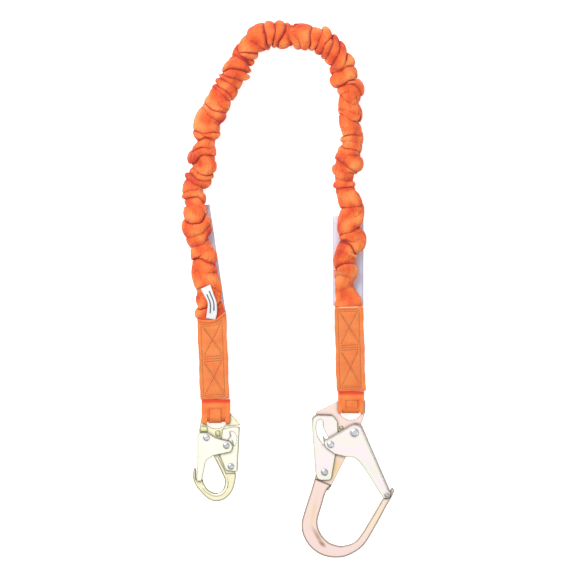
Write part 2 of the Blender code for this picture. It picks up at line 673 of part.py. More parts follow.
def swept(name, route, section, inner=None, rings=JACKET_RINGS):
    """A loft along the route. section(s) gives (across, up) points, inner(s) the hollow's."""
    start, end = END_CLEAR, route.total - END_CLEAR
    mesh = bpy.data.meshes.new(name)
    work = bmesh.new()
    loops = {"outer": [], "inner": []}
    for i in range(rings + 1):
        s = start + (end - start) * i / rings
        centre, side = route.place(s), route.side(s)
        for kind, shape in (("outer", section), ("inner", inner)):
            if shape:
                loops[kind].append([
                    work.verts.new(centre + side * across + Vector((0, 0, up))) for across, up in shape(s)
                ])
    for kind in loops:
        for first, second in zip(loops[kind], loops[kind][1:]):
            count = len(first)
            for j in range(count):
                k = (j + 1) % count
                work.faces.new((first[j], first[k], second[k], second[j]))
    for at in (0, -1):
        if inner:
            outer_ring, inner_ring = loops["outer"][at], loops["inner"][at]
            count = len(outer_ring)
            for j in range(count):
                k = (j + 1) % count
                work.faces.new((outer_ring[j], outer_ring[k], inner_ring[k], inner_ring[j]))
        else:
            work.faces.new(loops["outer"][at])
    bmesh.ops.recalc_face_normals(work, faces=work.faces)
    work.to_mesh(mesh)
    work.free()
    made = bpy.data.objects.new(name, mesh)
    PARTS.objects.link(made)
    return made


def oval(half_width, half_thick, height):
    return [
        (half_width * math.cos(2 * math.pi * j / JACKET_SIDES),
         height + half_thick * math.sin(2 * math.pi * j / JACKET_SIDES))
        for j in range(JACKET_SIDES)
    ]


def strip(offset, width, thick, height):
    return [
        (offset - width / 2, height - thick / 2), (offset + width / 2, height - thick / 2),
        (offset + width / 2, height + thick / 2), (offset - width / 2, height + thick / 2),
    ]


def jacket_and_core(route):
    jacket = swept(
        "outer_jacket", route,
        lambda s: oval(JACKET_HALF_WIDTH, route.half_thick(s), route.height(s)),
        lambda s: oval(JACKET_HALF_WIDTH - JACKET_WALL, route.half_thick(s) - JACKET_WALL, route.height(s)),
    )
    finish(jacket, WEBBING)
    core = swept("shock_core_strap", route, lambda s: strip(0.0, CORE_WIDTH, CORE_THICK, route.height(s)))
    finish(core, CORE_CLOTH)
    for number, offset in ((1, -BAND_OFFSET), (2, BAND_OFFSET)):
        band = swept(
            f"elastic_band_{number}", route,
            lambda s, offset=offset: strip(offset, BAND_WIDTH, BAND_THICK, route.height(s)),
        )
        finish(band, ELASTIC_CLOTH)


def sheet(name, centre_line, width, thick, finish_material, tilt=0.0):
    """A thin flat sheet: (y, z) points of its middle, given a width along X and a thickness."""
    mesh = bpy.data.meshes.new(name)
    points = [(x, y, z) for y, z in centre_line for x in (-width / 2, width / 2)]
    faces = [(2 * i, 2 * i + 1, 2 * i + 3, 2 * i + 2) for i in range(len(centre_line) - 1)]
    mesh.from_pydata(points, [], faces)
    made = bpy.data.objects.new(name, mesh)
    PARTS.objects.link(made)
    thicken = made.modifiers.new("thickness", "SOLIDIFY")
    thicken.thickness = thick
    thicken.offset = 0.0
    made.rotation_euler.z = tilt
    finish(made, finish_material)
    return made


def label_pack(name, low, high, width, tilt):
    """A pack of label leaves that starts under the sleeve's end and lies on the floor beneath the jacket."""
    length = (high - low).length
    line = []
    for i in range(13):
        y = length * i / 12
        line.append((y, LABEL_THICK / 2 + LABEL_STEP * (1 - ease(y / LABEL_RUN))))
    made = sheet(name, line, width, LABEL_THICK, LABEL_FILM, tilt)
    made.location = low
    return made


def sewn_tag(route):
    """A small tag sewn in at the sleeve's top edge, lying up over the jacket."""
    line = []
    for i in range(11):
        t = i / 10
        s = TAG_START + TAG_LENGTH * t
        over = route.height(s) + route.half_thick(s) + TAG_OVER_JACKET
        line.append((s, over + TAG_CURL * t * t))
    made = sheet("sewn_tag", line, TAG_WIDTH, TAG_THICK, TAG_CLOTH, math.radians(TAG_TURN))
    made.location = Vector((route.place(0).x, route.place(0).y, 0.0))
    return made


def main():
    webbing_end("snap", SNAP_EYE, SNAP_SLEEVE)
    webbing_end("rebar", REBAR_EYE, REBAR_SLEEVE)
    hook(SNAP, SNAP_EYE, YELLOW_ZINC)
    hook(REBAR, REBAR_EYE, FORGED)
    route = Route()
    jacket_and_core(route)
    for name, (low, high, width, tilt) in LABELS.items():
        label_pack(name, low, high, width, math.radians(tilt))
    sewn_tag(route)


main()
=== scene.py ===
"""Looks of the shock absorbing lanyard: gathered jacket, stitched webbing, labels and plated hooks.

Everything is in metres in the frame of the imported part: the lanyard lies on z = 0, +Y runs from
the hooks to the webbing's bend and +X to the rebar hook's side.
"""

import math

import bmesh
import bpy
import numpy as np
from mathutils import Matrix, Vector, noise


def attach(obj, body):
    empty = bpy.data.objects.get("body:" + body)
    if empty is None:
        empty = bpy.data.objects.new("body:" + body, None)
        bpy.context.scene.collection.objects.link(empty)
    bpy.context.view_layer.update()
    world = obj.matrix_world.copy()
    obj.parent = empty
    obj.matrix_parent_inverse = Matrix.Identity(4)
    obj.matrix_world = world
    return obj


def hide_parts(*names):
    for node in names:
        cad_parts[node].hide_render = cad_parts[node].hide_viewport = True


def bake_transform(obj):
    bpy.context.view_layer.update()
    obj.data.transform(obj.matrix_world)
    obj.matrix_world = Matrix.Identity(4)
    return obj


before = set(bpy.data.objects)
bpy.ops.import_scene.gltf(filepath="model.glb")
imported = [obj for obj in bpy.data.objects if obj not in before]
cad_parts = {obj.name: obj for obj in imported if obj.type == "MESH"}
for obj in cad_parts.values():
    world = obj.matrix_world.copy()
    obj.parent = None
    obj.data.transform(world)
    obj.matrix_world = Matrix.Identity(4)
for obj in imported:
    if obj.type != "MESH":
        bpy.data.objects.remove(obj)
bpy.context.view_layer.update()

MM = 0.001
MID_Z = 10.2 * MM                 # middle plane of hooks, sleeves and loops
SHIFT = np.array((-4.36, 129.095))  # from the numbers of the route to the frame, in mm
EYES = {"snap": np.array((-104.56, -55.005)) * MM, "rebar": np.array((83.14, -43.105)) * MM}
SLEEVES = {                       # middle of the top and bottom edges
    "snap": (np.array((-110.76, 83.995)) * MM, np.array((-106.66, -25.505)) * MM),
    "rebar": (np.array((80.44, 103.995)) * MM, np.array((83.84, -14.305)) * MM),
}

# The jacket's route from the snap hook's sleeve to the rebar hook's, in mm before the shift.
ROUTE = (
    (-106.4, -44.8), (-107.0, -34), (-110.6, -8), (-115.5, 25), (-120, 60), (-126, 95),
    (-129, 128), (-125, 160), (-117, 192), (-109, 225), (-99, 256), (-85, 284), (-70, 311),
    (-52, 338), (-25, 355), (8, 355), (40, 347), (64, 329), (78, 302), (85, 270), (87, 236),
    (87, 200), (84, 165), (84, 130), (88, 96), (86, 60), (82.5, 28), (83.2, 0), (84.4, -14),
    (84.8, -24.8),
)
# How the slack jacket winds about that route, in mm: length along it, sideways shift and change
# of half width.
SWAY = (
    (0, 0, 0), (38, 0, 0), (68, -3, 0), (86, 2, 1), (106, -2, -3), (131, -3, 1), (157, -1, -3),
    (172, -2, -1), (187, -3, -2.5), (203, 2, 2), (221, 5, -1.5), (234, -1, 0), (250, 0, -4),
    (265, -2.5, 2), (280, -4.5, -1), (300, 0, 0), (350, 1.5, 0), (395, -1.5, -1), (430, 1, 0),
    (470, 1, -1), (510, -2, 1), (545, 0, 0), (575, 2, 0), (589, -4, -1), (603, 1, -4), (621, 0, 0),
    (631, 3.5, -4), (648, -3, -4), (673, 0, -1), (690, 1, 1), (701, 6, -4), (725, 3, -3),
    (750, -6, -2), (776, 2.5, -1), (797, -2.5, 2), (821, 6.5, -3), (838, 0, -2), (856, 5, -5),
    (874, 1, -1), (890, 0, 0),
)
HALF_WIDTH = 19.4 * MM
HALF_THICK = 12.0 * MM
END_HALF_THICK = 4.9 * MM
CORE_HALF_WIDTH = 12.4 * MM       # the jacket stays outside this, clear of the straps in it
END_TAPER = 0.060
PLAIN = 0.6                       # relief of cloth that is neither a crease nor a crest
LABEL_LIFT = 1.7 * MM             # height of the jacket's underside over the labels
LABEL_REACH = 0.155               # length from each sleeve over which it keeps that height
LABEL_FADE = 0.05                 # length over which it then comes down to the floor
SLEEVE_REACH = 0.035              # length over which it comes down from the sleeve's level
WAY_STEP = 0.004                  # half of the length over which its direction is taken
JACKET_SIDES = 120
ROLL_SAMPLES = 13                 # rings of each roll
ROLL_SEED = 11
END_OVERLAP = 0.002               # how far the skin runs past both ends of the route
FLOOR_GAP = 0.5 * MM              # the skin stays above this height
FLOOR_SOFT = 1.2 * MM             # how softly it flattens there
BAND_INSET = 0.0015               # between the ends of the bands in it and of the route
WEAVE_RADIUS = 0.016              # turns angles round the jacket into lengths for the weave


# ------------ materials

class Shader:
    """A Principled material with short helpers for the nodes in front of it."""

    def __init__(self, name, colour, roughness, metallic=0.0):
        self.material = bpy.data.materials.new(name)
        self.material.use_nodes = True
        self.tree = self.material.node_tree
        self.main = self.tree.nodes["Principled BSDF"]
        self.main.inputs["Base Color"].default_value = (*colour, 1.0)
        self.main.inputs["Roughness"].default_value = roughness
        self.main.inputs["Metallic"].default_value = metallic

    def node(self, kind, **values):
        made = self.tree.nodes.new(kind)
        for key, value in values.items():
            if key in made.inputs:
                made.inputs[key].default_value = value
            else:
                setattr(made, key, value)
        return made

    def link(self, out, into):
        self.tree.links.new(out, into)

    def mix(self, factor, low, high):
        """A colour between low and high, each a colour or a socket."""
        made = self.node("ShaderNodeMix", data_type="RGBA")
        self.link(factor, made.inputs[0])
        for socket, value in ((made.inputs[6], low), (made.inputs[7], high)):
            if isinstance(value, tuple):
                socket.default_value = (*value, 1.0)
            else:
                self.link(value, socket)
        return made.outputs[2]

    def noise(self, vector, scale, detail=3.0, rough=0.55):
        made = self.node("ShaderNodeTexNoise", Scale=scale, Detail=detail, Roughness=rough)
        self.link(vector, made.inputs["Vector"])
        return made.outputs["Fac"]

    def ramp(self, value, low, high):
        made = self.node("ShaderNodeMapRange")
        made.inputs["From Min"].default_value = low
        made.inputs["From Max"].default_value = high
        self.link(value, made.inputs["Value"])
        return made.outputs["Result"]

    def math(self, kind, first, second=0.0):
        made = self.node("ShaderNodeMath", operation=kind)
        for socket, value in ((made.inputs[0], first), (made.inputs[1], second)):
            if isinstance(value, (int, float)):
                socket.default_value = value
            else:
                self.link(value, socket)
        return made.outputs[0]

    def bump(self, height, strength, distance):
        made = self.node("ShaderNodeBump", Strength=strength, Distance=distance)
        self.link(height, made.inputs["Height"])
        self.link(made.outputs["Normal"], self.main.inputs["Normal"])

    def openness(self, reach):
        """1 in the open, falling towards 0 where other surfaces stand within reach."""
        made = self.node("ShaderNodeAmbientOcclusion", samples=6, Distance=reach)
        return made.outputs["AO"]

    def object_space(self):
        return self.node("ShaderNodeTexCoord").outputs["Object"]

    def attribute(self, name):
        return self.node("ShaderNodeAttribute", attribute_name=name).outputs["Vector"]


def cloth_material(name, shadow, deep, colour, pale, pitch, bump=0.5, scale=60.0):
    """Woven cloth: a plain weave along the 'weave' attribute and slow changes of colour.

    The attribute's third value is the relief, which paints light and shade: the painted shadow's
    colour at 0, the cloth's own at 0.6 and the painted highlight's, pale, at 1. Creases that other
    surfaces close in go towards the painted shadow too.
    """
    made = Shader(name, colour, 0.82)
    split = made.node("ShaderNodeSeparateXYZ")
    made.link(made.attribute("weave"), split.inputs[0])
    turns = 2 * math.pi / pitch
    warp = made.math("SINE", made.math("MULTIPLY", split.outputs[0], turns))
    weft = made.math("SINE", made.math("MULTIPLY", split.outputs[1], turns))
    weave = made.math("MULTIPLY", warp, weft)
    cloudy = made.noise(made.object_space(), scale, 4.0)
    plain = made.mix(made.ramp(cloudy, 0.35, 0.65), deep, colour)
    # Painted light: the painted highlight near relief 1, the painted shadow near relief 0 and in
    # closed-in creases.
    plain = made.mix(made.ramp(split.outputs[2], 0.60, 1.0), plain, pale)
    plain = made.mix(made.ramp(split.outputs[2], 0.0, 0.60), shadow, plain)
    plain = made.mix(made.ramp(made.openness(10 * MM), 0.25, 0.92), shadow, plain)
    made.link(plain, made.main.inputs["Base Color"])
    grain = made.noise(made.object_space(), 900.0, 2.0)
    made.bump(made.math("ADD", weave, grain), bump, 0.0002)
    made.main.inputs["Sheen Weight"].default_value = 0.2
    made.main.inputs["Sheen Roughness"].default_value = 0.5
    return made


SHEEN_OF_PLATING = 0.65            # the rest of a plated face scatters light like paint


def metal_material(name, face, rim, outline, roughness, rounding, rim_width, shaded_side=None,
                   level=(0.15, 0.60), tints_and_painted_light=()):
    """Plated metal: pale on its faces, tinted towards its rims, and painted shade in the outline colour
    on its outlines, its steep sides and in crevices.

    rounding is the width over which an edge looks rounded off and rim_width the width of the
    tint. Edges that face the given shaded side get a broad band of painted shade, as if lit from
    the other way. level gives the steepness between which a side turns from painted shade to its
    own colour. Each oval is a soft patch of another colour: its centre, half sizes, turn, colour
    and strength; the ovals serve for tints of the metal and for painted shade and highlight.
    """
    made = Shader(name, face, roughness, 1.0)
    geometry = made.node("ShaderNodeNewGeometry")
    near = made.node("ShaderNodeBevel", samples=6, Radius=rounding)
    wide = made.node("ShaderNodeBevel", samples=6, Radius=rim_width)

    def turned(bevel):
        """How far the rounded normal leans away from the face, from 0 to 1."""
        dot = made.node("ShaderNodeVectorMath", operation="DOT_PRODUCT")
        made.link(bevel.outputs["Normal"], dot.inputs[0])
        made.link(geometry.outputs["True Normal"], dot.inputs[1])
        return made.math("SUBTRACT", 1.0, dot.outputs["Value"])

    cloudy = made.noise(made.object_space(), 38.0, 3.0)
    tinted = tuple(0.6 * a + 0.4 * b for a, b in zip(face, rim))
    colour = made.mix(made.ramp(cloudy, 0.40, 0.66), face, tinted)
    # Soft ovals of another colour: tints of the metal, and painted shade and highlight where given.
    for centre, half_sizes, turn, tone, strength in tints_and_painted_light:
        oval = made.node("ShaderNodeMapping", vector_type="TEXTURE")
        oval.inputs["Location"].default_value = (*centre, MID_Z)
        oval.inputs["Rotation"].default_value = (0, 0, math.radians(turn))
        oval.inputs["Scale"].default_value = (*half_sizes, 1.0)
        made.link(made.object_space(), oval.inputs["Vector"])
        flat = made.node("ShaderNodeVectorMath", operation="LENGTH")
        made.link(oval.outputs["Vector"], flat.inputs[0])
        amount = made.math("MULTIPLY", made.ramp(flat.outputs["Value"], 1.0, 0.15), strength)
        colour = made.mix(amount, colour, tone)
    colour = made.mix(made.ramp(turned(wide), 0.005, 0.15), colour, rim)
    split = made.node("ShaderNodeSeparateXYZ")
    made.link(made.node("ShaderNodeTexCoord").outputs["Normal"], split.inputs[0])
    upright = made.math("ABSOLUTE", split.outputs[2])
    # Painted shade on steep sides, between the upright levels given by level.
    steep = made.math("MULTIPLY", made.ramp(upright, level[1], level[0]), made.ramp(upright, 0.05, 0.30))
    # The mask of painted shade in the outline colour: along the outlines and on steep sides, then in
    # crevices.
    painted_shade = made.math("MAXIMUM", made.ramp(turned(near), 0.01, 0.09), made.math("MULTIPLY", steep, 0.9))
    painted_shade = made.math("MAXIMUM", painted_shade, made.ramp(made.openness(5 * MM), 0.92, 0.35))
    # A broad band of painted shade on the edges that face the shaded side, as if lit from the other way.
    if shaded_side:
        local = made.node("ShaderNodeVectorTransform", vector_type="NORMAL")
        local.convert_from, local.convert_to = "WORLD", "OBJECT"
        made.link(wide.outputs["Normal"], local.inputs[0])
        facing = made.node("ShaderNodeVectorMath", operation="DOT_PRODUCT")
        made.link(local.outputs[0], facing.inputs[0])
        facing.inputs[1].default_value = shaded_side
        band = made.math(
            "MULTIPLY", made.ramp(facing.outputs["Value"], 0.14, 0.34), made.ramp(upright, 0.3, 0.6))
        painted_shade = made.math("MAXIMUM", painted_shade, band)
    colour = made.mix(painted_shade, colour, outline)
    bright = made.math("SUBTRACT", 1.0, painted_shade)
    made.link(made.math("MULTIPLY", bright, SHEEN_OF_PLATING), made.main.inputs["Metallic"])
    made.main.inputs["Specular IOR Level"].default_value = 0.15
    made.link(colour, made.main.inputs["Base Color"])
    grain = made.node("ShaderNodeBump", Strength=0.10, Distance=0.0003)
    made.link(made.noise(made.object_space(), 300.0, 3.0), grain.inputs["Height"])
    made.link(near.outputs["Normal"], grain.inputs["Normal"])
    made.link(grain.outputs["Normal"], made.main.inputs["Normal"])
    return made


def from_eye(prefix, x, y):
    """A place in metres given in mm from a hook's eye."""
    return (EYES[prefix][0] + x * MM, EYES[prefix][1] + y * MM)


ORANGE = cloth_material(
    "orange_jacket", (0.50, 0.018, 0.004), (0.83, 0.110, 0.018), (0.89, 0.172, 0.030),
    (0.92, 0.275, 0.068), 0.0011)
WEBBING = cloth_material(
    "orange_webbing", (0.50, 0.035, 0.008), (0.80, 0.190, 0.044), (0.86, 0.250, 0.064),
    (0.95, 0.320, 0.100), 0.0016, 0.9)
STRAP = cloth_material(
    "orange_strap", (0.70, 0.030, 0.006), (0.86, 0.180, 0.034), (0.92, 0.255, 0.060),
    (0.95, 0.320, 0.100), 0.0016, 0.9)
THREAD = Shader("thread", (0.22, 0.095, 0.035), 0.8)
PALE_THREAD = Shader("pale_thread", (0.90, 0.60, 0.38), 0.8)
LABEL = Shader("label_film", (0.66, 0.65, 0.78), 0.45)
TAG = Shader("tag_cloth", (0.80, 0.80, 0.82), 0.7)
INK = Shader("ink", (0.06, 0.07, 0.10), 0.7)
CORE = Shader("core_cloth", (0.75, 0.72, 0.62), 0.85)
ELASTIC = Shader("elastic", (0.10, 0.10, 0.11), 0.8)
# OLIVE and BROWN are the colours of painted shade on the metals' outlines, steep sides and crevices.
OLIVE = (0.10, 0.082, 0.026)
BROWN = (0.090, 0.048, 0.024)
# Colour of the painted shade inside the rebar hook's lower bend.
SHADE_BROWN = (0.36, 0.190, 0.110)
TAN = (0.86, 0.62, 0.33)
STRAW = (0.92, 0.80, 0.56)
ZINC = metal_material(
    "yellow_zinc", (0.93, 0.88, 0.66), (0.84, 0.80, 0.42), OLIVE, 0.36, 2.2 * MM, 4.5 * MM,
    level=(0.88, 0.995))
GOLD = metal_material(
    "forged_gold", (0.91, 0.71, 0.67), (0.89, 0.72, 0.58), BROWN, 0.40, 1.9 * MM, 7.0 * MM,
    level=(0.88, 0.995), tints_and_painted_light=(
        (from_eye("rebar", -19, -80), (26 * MM, 24 * MM), 0, TAN, 0.9),
        (from_eye("rebar", 34, -149), (42 * MM, 12 * MM), 57, STRAW, 0.8),
        # Painted shade: a brown smudge in two ovals inside the lower left bend.
        (from_eye("rebar", -46, -174), (20 * MM, 4.0 * MM), -60, SHADE_BROWN, 0.7),
        (from_eye("rebar", -39.5, -184.5), (8 * MM, 4.0 * MM), -40, SHADE_BROWN, 0.8),
        # Painted highlight: a long tan streak down the shank.
        (from_eye("rebar", -51.5, -140), (32 * MM, 4.5 * MM), 80, TAN, 0.6),
    ))
PLATE_FACE, PLATE_RIM = (0.94, 0.90, 0.82), (0.86, 0.92, 0.60)
PINK_FACE, PINK_RIM = (0.94, 0.82, 0.86), (0.80, 0.92, 0.62)
# The last value of each plate is its shaded side, which gets a broad band of painted shade.
SNAP_GATE = metal_material(
    "snap_gate_plate", PLATE_FACE, PLATE_RIM, OLIVE, 0.40, 1.9 * MM, 4.2 * MM, (0.40, 0.92, 0.0))
SNAP_LEVER = metal_material(
    "snap_lever_plate", PLATE_FACE, PLATE_RIM, OLIVE, 0.40, 1.9 * MM, 4.2 * MM, (0.96, 0.28, 0.0))
REBAR_GATE = metal_material(
    "rebar_gate_plate", PINK_FACE, PINK_RIM, BROWN, 0.40, 1.8 * MM, 7.0 * MM, (0.60, 0.80, 0.0))
REBAR_LEVER = metal_material(
    "rebar_lever_plate", PINK_FACE, PINK_RIM, BROWN, 0.40, 1.8 * MM, 5.0 * MM, (-0.40, 0.92, 0.0))
RIVET = metal_material(
    "rivet_steel", (0.66, 0.69, 0.74), (0.36, 0.38, 0.42), (0.05, 0.06, 0.07), 0.26, 1.0 * MM, 1.8 * MM)
SPRING = metal_material(
    "spring_steel", (0.55, 0.54, 0.50), (0.40, 0.40, 0.40), (0.10, 0.10, 0.10), 0.35, 0.2 * MM, 0.3 * MM)
BEAD = metal_material(
    "bead", (0.98, 0.94, 0.72), (0.90, 0.84, 0.52), OLIVE, 0.30, 0.4 * MM, 1.5 * MM, level=(0.70, 0.95))
LUG = metal_material(
    "lug", (0.80, 0.83, 0.50), (0.62, 0.64, 0.30), OLIVE, 0.40, 1.6 * MM, 3.0 * MM)
# A sheet in this colour stands in for the shade in a slit of the snap hook: painted shade.
SLIT_SHADE = Shader("slit", (0.10, 0.085, 0.03), 0.7)


# ------------ mesh helpers

def ease(t):
    """A smooth step from 0 to 1 as t does the same."""
    t = np.clip(t, 0.0, 1.0)
    return t * t * (3 - 2 * t)


def right_of(way):
    """Directions in the floor's plane, a quarter turn to the right."""
    return np.stack((way[..., 1], -way[..., 0]), -1)


def sideways(line):
    """Unit vectors to the right of a line of points, in the floor's plane."""
    way = np.gradient(np.asarray(line)[:, :2], axis=0)
    return right_of(way / np.linalg.norm(way, axis=1, keepdims=True))


def mesh_piece(name, points, faces, shader, body="webbing", weave=None):
    """A mesh object from points and faces, riding on a body unless that is None."""
    mesh = bpy.data.meshes.new(name)
    mesh.from_pydata([tuple(p) for p in points], [], faces)
    mesh.validate()
    if weave is not None:
        layer = mesh.attributes.new("weave", "FLOAT_VECTOR", "POINT")
        layer.data.foreach_set("vector", np.asarray(weave, np.float32).ravel())
    made = bpy.data.objects.new(name, mesh)
    bpy.context.scene.collection.objects.link(made)
    mesh.materials.append(shader.material)
    work = bmesh.new()
    work.from_mesh(mesh)
    bmesh.ops.recalc_face_normals(work, faces=work.faces)
    work.to_mesh(mesh)
    work.free()
    mesh.polygons.foreach_set("use_smooth", [True] * len(mesh.polygons))
    if body:
        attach(made, body)
    return made


def ring_faces(rings, count, base=0):
    """Quads between rings of count points each, with flat caps; base is the first point's index."""
    faces = []
    for i in range(rings - 1):
        here, there = base + i * count, base + (i + 1) * count
        for j in range(count):
            k = (j + 1) % count
            faces.append((here + j, here + k, there + k, there + j))
    faces.append(tuple(range(base, base + count)))
    faces.append(tuple(range(base + (rings - 1) * count, base + rings * count)))
    return faces


def smooth(points, steps=12):
    """An open curve through the points, a Catmull-Rom spline."""
    points = np.asarray(points, float)
    line = np.vstack((2 * points[0] - points[1], points, 2 * points[-1] - points[-2]))
    made = []
    for p0, p1, p2, p3 in zip(line, line[1:], line[2:], line[3:]):
        for j in range(steps):
            t = j / steps
            made.append(0.5 * (2 * p1 + (p2 - p0) * t + (2 * p0 - 5 * p1 + 4 * p2 - p3) * t * t
                               + (3 * p1 - p0 - 3 * p2 + p3) * t ** 3))
    made.append(points[-1])
    return np.array(made)


class Route:
    """The jacket's centre line, with its length, height and thickness at each point."""

    def __init__(self):
        plain = (smooth(ROUTE) + SHIFT) * MM
        lengths = np.concatenate(([0.0], np.cumsum(np.linalg.norm(np.diff(plain, axis=0), axis=1))))
        sway = smooth(SWAY, 8) * MM
        shift = np.interp(lengths, sway[:, 0], sway[:, 1])
        self.fine = plain + sideways(plain) * shift[:, None]
        self.wider = np.interp(lengths, sway[:, 0], sway[:, 2])
        steps = np.linalg.norm(np.diff(self.fine, axis=0), axis=1)
        self.lengths = np.concatenate(([0.0], np.cumsum(steps)))
        self.total = self.lengths[-1]

    def place(self, s):
        return np.stack([np.interp(s, self.lengths, self.fine[:, k]) for k in (0, 1)], -1)

    def along(self, s):
        ahead = self.place(np.clip(s + WAY_STEP, 0, self.total))
        way = ahead - self.place(np.clip(s - WAY_STEP, 0, self.total))
        return way / np.linalg.norm(way, axis=-1, keepdims=True)

    def half_width(self, s):
        return HALF_WIDTH + np.interp(s, self.lengths, self.wider)

    def half_thick(self, s):
        near = np.minimum(s, self.total - s)
        return END_HALF_THICK + (HALF_THICK - END_HALF_THICK) * ease(near / END_TAPER)

    def height(self, s):
        near = np.minimum(s, self.total - s)
        rest = LABEL_LIFT * (1 - ease((near - LABEL_REACH) / LABEL_FADE))
        level = MID_Z - END_HALF_THICK
        return self.half_thick(s) + rest + (level - rest) * (1 - ease(near / SLEEVE_REACH))


ROUTE_LINE = Route()


# ------------ gathered jacket

def gathered_rolls(total, rng):
    """Widths of the rolls, wider near both ends where the cloth is slack."""
    widths = []
    while sum(widths) < total:
        s = sum(widths)
        near = min(s, total - s)
        kind = rng.random()
        if kind < 0.60:
            width = rng.uniform(7.5, 11.5)
        elif kind < 0.88:
            width = rng.uniform(11.0, 15.0)
        else:
            width = rng.uniform(16.0, 22.0)
        if near < 0.15:
            width = 1.10 * width + 1.5
        widths.append(width * MM)
    widths = np.array(widths)
    return widths * total / widths.sum()


def smoothed(values, reach):
    """Moving average along the first axis."""
    padded = np.concatenate([values[:1]] * reach + [values] + [values[-1:]] * reach)
    return np.stack([padded[i:i + 2 * reach + 1].mean(0) for i in range(len(values))])


